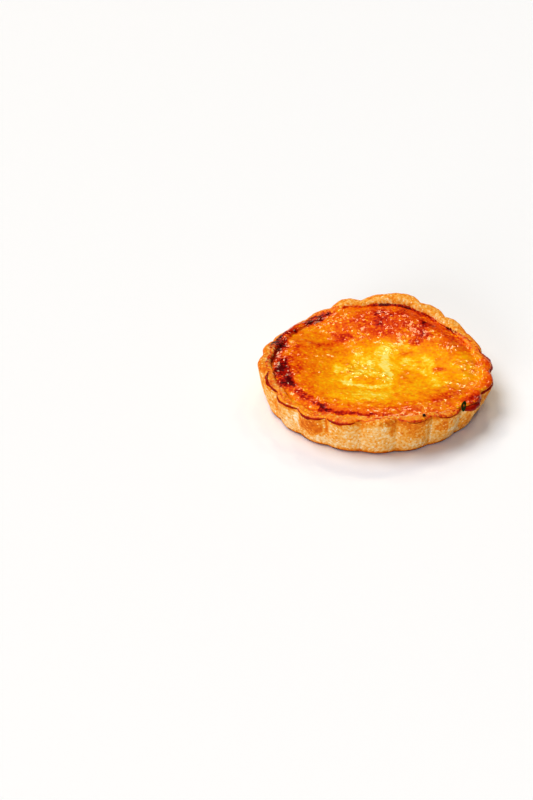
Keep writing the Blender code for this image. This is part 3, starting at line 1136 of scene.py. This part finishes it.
def custard_top():
    """The custard's upper skin before its fine relief: points, quads, edge loop, share."""
    turn, share, quads, loop = disc_grid(HALF_CELLS)
    angle = np.degrees(turn)
    wet = around(angle, flooded)
    meet = around(angle, meeting)
    edge = around(angle, custard_edge)
    reach = meet + TUCK + wet * (around(angle, glaze_radius) - meet - TUCK)
    radius = share * reach
    inside = radius / meet
    crest = CREST * (1.0 - FLAT_SIDE_LOST * bell(angle, *FLAT_SIDE))
    crest = crest * ease(inside, 1.0, CREST_AT)
    dish = ease(inside, CREST_AT, DISH_FLAT) * DISH
    valley = np.exp(-((radius - meet) / VALLEY_WIDTH) ** 2) * VALLEY * (1.0 - wet)
    level = edge.mean() + (edge - edge.mean()) * ease(inside, 0.0, 0.9)
    height = level + crest - dish - valley
    x, y = radius * np.cos(turn), radius * np.sin(turn)
    pastry = np.zeros_like(height)
    near_crust = np.flatnonzero(radius > meet - 3.0 * MM)
    pastry[near_crust] = [ray_down(x[i], y[i]) for i in near_crust]
    from_edge = reach - radius
    film = FILM * ease(from_edge, 0.0, FILM_SWELL)
    film = film - FILM_EDGE_SUNK * ease(from_edge, FILM_EDGE, 0.0)
    lifted = pastry + film - (1.0 - wet) * TUCK_DEPTH
    # a rounded maximum of the two heights, rounder where the custard ran over
    rounding = (0.4 + 1.6 * wet) * MM
    height = 0.5 * (height + lifted + np.hypot(height - lifted, rounding))
    return np.stack([x, y, height], axis=1), quads, loop, inside


top, quads, loop, inside = custard_top()
print("custard skin:", len(top), "points,", len(quads), "quads")

# %% Close the disc underneath
def close_underneath(points, quads, loop):
    """Add hidden rings down the inside of the case and a bottom on its floor."""
    rim = points[loop]
    turn = np.arctan2(rim[:, 1], rim[:, 0])
    meet = around(np.degrees(turn), meeting)
    # lower down the filling is sunk a little into the pastry, so that no gap can open
    cup_foot = CUP_FOOT + 0.4 * MM
    bottom = FLOOR - 0.2 * MM
    # radius and height: under the skin's edge, at the inner wall, down it, and on the floor
    rings = (
        (np.hypot(rim[:, 0], rim[:, 1]) - 0.8 * MM, rim[:, 2] - 1.0 * MM),
        (meet - 0.2 * MM, np.minimum(rim[:, 2] - 2.0 * MM, 11.0 * MM)),
        (cup_foot + CUP_SLOPE * HIDDEN_BELOW, HIDDEN_BELOW),
        (cup_foot + CUP_SLOPE * FLOOR, bottom),
        (20.0 * MM, bottom),
    )
    faces = quads.tolist()
    points = list(points)
    upper = loop
    for radius, height in rings:
        lower = np.arange(len(points), len(points) + len(loop))
        ring = (radius * np.cos(turn), radius * np.sin(turn), np.full_like(turn, height))
        points += list(np.stack(ring, axis=1))
        faces += band(upper, lower)
        upper = lower
    centre = len(points)
    points.append(np.array([0.0, 0.0, bottom]))
    faces += [[after, before, centre] for before, after in zip(upper, np.roll(upper, -1))]
    return np.array(points), faces


all_points, faces = close_underneath(top, quads, loop)
custard_mesh = closed_mesh("custard_start", all_points, faces)
hidden = len(all_points) - len(top)
for name, seen, unseen in (("browned", browned_at(top), 0.3), ("skin", np.ones(len(top)), 0.0),
                           ("inside", inside, 1.2)):
    paint(custard_mesh, name, np.concatenate([seen, np.full(hidden, unseen)]))
print("custard closed with", hidden, "hidden points")

# %% [markdown]
# ### The fine relief of the skin
# The skin carries broad puffs, curved wrinkles that run round the front where it slumped,
# blisters of two sizes, stronger where it browned and where it stayed moist, and a fine
# grain. They are noise and round domes moved along the normals, so Geometry Nodes do it.
# Round domes matter: each one mirrors a window in one small glint, which plain noise does
# not. How proud a place stands is kept as an attribute, because such places brown first.

# %% The geometry tree of the skin
# x, y and half width (mm) of the places where the skin is moist and full of blisters
MOIST_SPOTS = ((-6, -4, 9), (4, -9, 5), (38, -3, 7), (30, -17, 7), (33, 13, 6))
SKIN_RELIEF = {"Puffs": 0.22 * MM, "Wrinkles": 0.14 * MM, "Blisters": 0.2 * MM,
               "Small blisters": 0.2 * MM, "Grain": 0.012 * MM}


def skin_tree():
    """Puffs, wrinkles, blisters and grain on the upper skin."""
    tree, geometry, sizes = new_tree("Baked custard skin", SKIN_RELIEF)
    place = field(tree, "GeometryNodeInputPosition")
    x, y = split(place)[:2]
    browned, skin, inside = [named(tree, label) for label in ("browned", "skin", "inside")]
    puffs = cloud(place, 8.0 * MM, 2.0, 51.0)
    radius = calc("SQRT", x * x + y * y)
    along = join(x / radius * 6.0, y / radius * 6.0, radius / (1.5 * MM))
    in_front = spread(x * 0.7 + y, 12.0 * MM, -14.0 * MM, 0.3, 1.0)
    wrinkles = cloud(along, 1.0, 2.0, 52.0) * spread(inside, 0.25, 0.5) * in_front
    moist = 0.0
    for spot_x, spot_y, half_width in MOIST_SPOTS:
        right, back = x - spot_x * MM, y - spot_y * MM
        away = calc("SQRT", right * right + back * back)
        moist = spread(away, 0.5 * half_width * MM, half_width * MM, 1.0, 0.0) + moist
    geometry = store(geometry, "moist", moist)
    patches = spread(cloud(place, 9.0 * MM, 1.0, 57.0), -0.1, 0.25)
    patches = calc("MAXIMUM", patches, moist)
    patches = calc("MAXIMUM", patches, spread(y, -15.0 * MM, -25.0 * MM))
    rough = calc("MAXIMUM", spread(browned, 0.3, 0.6), patches) * 0.8 + 0.2
    rough = rough * spread(browned, 0.72, 0.92, 1.0, 0.6) + moist * 0.55
    blisters = bubbles(place, 3.4 * MM, 0.0, 0.7, 54.0) * rough
    small = bubbles(place, 2.3 * MM, 0.0, 0.7, 55.0) * rough
    grain = cloud(place, 0.9 * MM, 0.0, 56.0) * rough
    parts = (puffs, wrinkles, blisters, small, grain)
    relief = sum(part * sizes[label] for part, label in zip(parts, SKIN_RELIEF))
    geometry = store(geometry, "proud", blisters + grain * 0.6 + wrinkles * 0.5 - 0.3)
    geometry = push_out(geometry, relief * skin)
    return end_tree(geometry, sizes["Material"])


custard = run_tree("custard_baked", custard_mesh, skin_tree(), custard_skin, SKIN_RELIEF)
report(custard)
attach(custard, "root")
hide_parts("custard")

# %% [markdown]
# ## Caramel on the rim
# Along the outer edge the boiled-over sugar dried in thin beads that hang in an arc from
# one crease of the rim to the next, and on the right one fat drop ran over. A bead is a
# path laid on the pastry with a thickness that swells and dies away, swept into a tube
# that is partly sunk in the crust. Beads modelled by hand would take one mesh each; as
# paths they are one line of a table each.

# %% Beads
# from and to (degrees), radius, sag in the middle, depth sunk into the crust (mm)
BEADS = (
    (-169, -150, 0.52, -0.2, 0.14),
    (-151, -133, 0.52, -0.3, 0.16),
    (-134, -117, 0.48, 0.1, 0.14),
    (-117, -101, 0.44, 0.2, 0.14),
    (-78, -64, 0.22, 0.4, 0.10),
    (-63, -46, 0.24, 0.4, 0.10),
    (-44, -31, 1.15, -1.7, 0.45),
    (-33, -14, 0.42, 0.1, 0.12),
    (-16, 1, 0.46, 0.1, 0.12),
    (0, 15, 0.38, 0.1, 0.12),
)
BEAD_SIZES = {"Roughness": 0.12 * MM, "Sides": 10.0}


def on_case(angle, past, lift=0.0):
    """A place on the case at this angle and distance past the outer corner."""
    index = np.argmin(np.abs(turn_from(column_turn, angle)))

    def radius_and_height(walk):
        return np.array([np.interp(walk, past_edge, column_radius[index]),
                         np.interp(walk, past_edge, columns[index, :, 2])])

    slope = radius_and_height(past + MM) - radius_and_height(past - MM)
    slope = slope / np.linalg.norm(slope)
    radius, height = radius_and_height(past) + lift * np.array([-slope[1], slope[0]])
    turn = math.radians(angle)
    return Vector((radius * math.cos(turn), radius * math.sin(turn), height))


def bead_paths():
    """All the beads as one mesh of separate lines, with a thickness at each point."""
    points, edges, thick = [], [], []
    spacing = 0.4 * MM
    for number, (start, end, size, sag, sunk) in enumerate(BEADS):
        steps = round(math.radians(end - start) * RIM_RADIUS / spacing)
        for i in range(steps + 1):
            share = i / steps
            swell = math.sin(math.pi * share)
            angle = start + (end - start) * share
            uneven = noise.noise(Vector((angle * 0.35, number * 3.7, 0.5)))
            past = glaze_reach(angle) + (sag * swell - 0.2 + 0.3 * uneven) * MM
            width = size * (0.12 + 0.88 * swell ** 0.7) * (1.0 + 0.5 * uneven)
            if i:
                edges.append((len(points) - 1, len(points)))
            points.append(on_case(angle, past, -sunk * MM))
            thick.append(width)
    mesh = bpy.data.meshes.new("beads")
    mesh.from_pydata(points, edges, [])
    paint(mesh, "thick", thick)
    return mesh


def bead_tree():
    """Sweep the lines into tubes whose radius follows the thickness."""
    tree, geometry, sizes = new_tree("Caramel beads", BEAD_SIZES)
    geometry = add_node("GeometryNodeMeshToCurve", geometry)[1]
    circle = tree.nodes.new("GeometryNodeCurvePrimitiveCircle")
    feed(tree, circle.inputs["Resolution"], sizes["Sides"])
    circle.inputs["Radius"].default_value = 1.0 * MM
    sweep, geometry = add_node("GeometryNodeCurveToMesh", geometry)
    feed(tree, sweep.inputs["Profile Curve"], Value(tree, circle.outputs[0]))
    feed(tree, sweep.inputs["Scale"], named(tree, "thick"))
    sweep.inputs["Fill Caps"].default_value = True
    place = field(tree, "GeometryNodeInputPosition")
    geometry = push_out(geometry, cloud(place, 1.4 * MM, 2.0, 61.0) * sizes["Roughness"])
    return end_tree(geometry, sizes["Material"])


beads = run_tree("caramel_beads", bead_paths(), bead_tree(), caramel, BEAD_SIZES)
report(beads)
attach(beads, "root")

# %% [markdown]
# ## Herb and crumb
# A curl of dark green herb leans on the rim at the front right: a narrow leaf whose tip has
# bent back to its stalk, so it makes a long loop. A burnt crumb lies a little to its left.
# A node tree pays off for things that repeat or follow a rule; each of these is single and
# small, so plain Python writes out the loop, and roughens an icosphere for the crumb.

# %% The herb
HERB_TURN = -42.8
HERB_LENGTH = 4.1 * MM
HERB_WIDTH = 1.25 * MM
# how far it leans sideways for each step down, lies above the crust, and bends up
HERB_LEAN = 1.3
HERB_LIFT = 0.7 * MM
HERB_ARCH = 0.25 * MM
BLADE = 0.9 * MM
BLADE_THICK = 0.8 * MM
LOOP_STEPS, BLADE_STEPS = 48, 8


def herb_points():
    """A flat blade bent round into a long loop that lies against the rim's edge."""
    middle = on_case(HERB_TURN, -0.5 * MM, HERB_LIFT)
    down = (on_case(HERB_TURN, 1.5 * MM) - on_case(HERB_TURN, -1.9 * MM)).normalized()
    turn = math.radians(HERB_TURN)
    side = Vector((-math.sin(turn), math.cos(turn), 0.0))
    down = (down - side * HERB_LEAN).normalized()
    side = (side - down * side.dot(down)).normalized()
    out = side.cross(down).normalized()
    if out.z < 0.0:
        out = -out
    points, faces = [], []
    ring = np.arange(BLADE_STEPS)
    for i in range(LOOP_STEPS):
        t = math.tau * i / LOOP_STEPS
        pinch = abs(math.sin(t)) ** 0.8
        centre = (middle + down * (0.5 * HERB_LENGTH * math.cos(t))
                  + side * (0.5 * HERB_WIDTH * math.sin(t) * pinch)
                  + out * (HERB_ARCH * math.cos(2.0 * t)))
        outward = down * (math.cos(t) * HERB_WIDTH) + side * (math.sin(t) * HERB_LENGTH)
        outward.normalize()
        wide = BLADE * (0.75 + 0.35 * math.sin(t + 0.6) + 0.12 * math.sin(3.0 * t))
        for j in range(BLADE_STEPS):
            u = math.tau * j / BLADE_STEPS
            points.append(centre + outward * (0.5 * BLADE_THICK * math.cos(u))
                          + out * (0.5 * wide * math.sin(u)))
        faces += band((i + 1) % LOOP_STEPS * BLADE_STEPS + ring, i * BLADE_STEPS + ring)
    return points, faces


herb = new_object("herb_curl", closed_mesh("herb_curl", *herb_points()))
herb.data.materials.append(herb_green)
report(herb)
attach(herb, "root")

# %% The burnt crumb
CRUMB_X, CRUMB_Y = 17.3 * MM, -39.6 * MM
CRUMB_RADIUS = 0.6 * MM
CRUMB_LIFT = 0.5 * MM
CRUMB_ROUGHNESS = 0.35
CRUMB_FLATNESS = 0.8


def crumb_mesh(name, place):
    """A small angular lump, partly sunk where it lies."""
    work = bmesh.new()
    bmesh.ops.create_icosphere(work, subdivisions=3, radius=CRUMB_RADIUS)
    for vert in work.verts:
        sample = vert.co / CRUMB_RADIUS + Vector((3.0, 0.0, 0.0))
        vert.co *= 1.0 + CRUMB_ROUGHNESS * noise.fractal(sample, 0.7, 2.0, 3)
        vert.co.z *= CRUMB_FLATNESS
    bmesh.ops.translate(work, verts=work.verts, vec=place)
    mesh = bpy.data.meshes.new(name)
    work.to_mesh(mesh)
    work.free()
    mesh.shade_smooth()
    return mesh


crumb_z = ray_down(CRUMB_X, CRUMB_Y) + CRUMB_LIFT
speck = new_object("burnt_crumb", crumb_mesh("burnt_crumb", (CRUMB_X, CRUMB_Y, crumb_z)))
speck.data.materials.append(char)
report(speck)
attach(speck, "root")
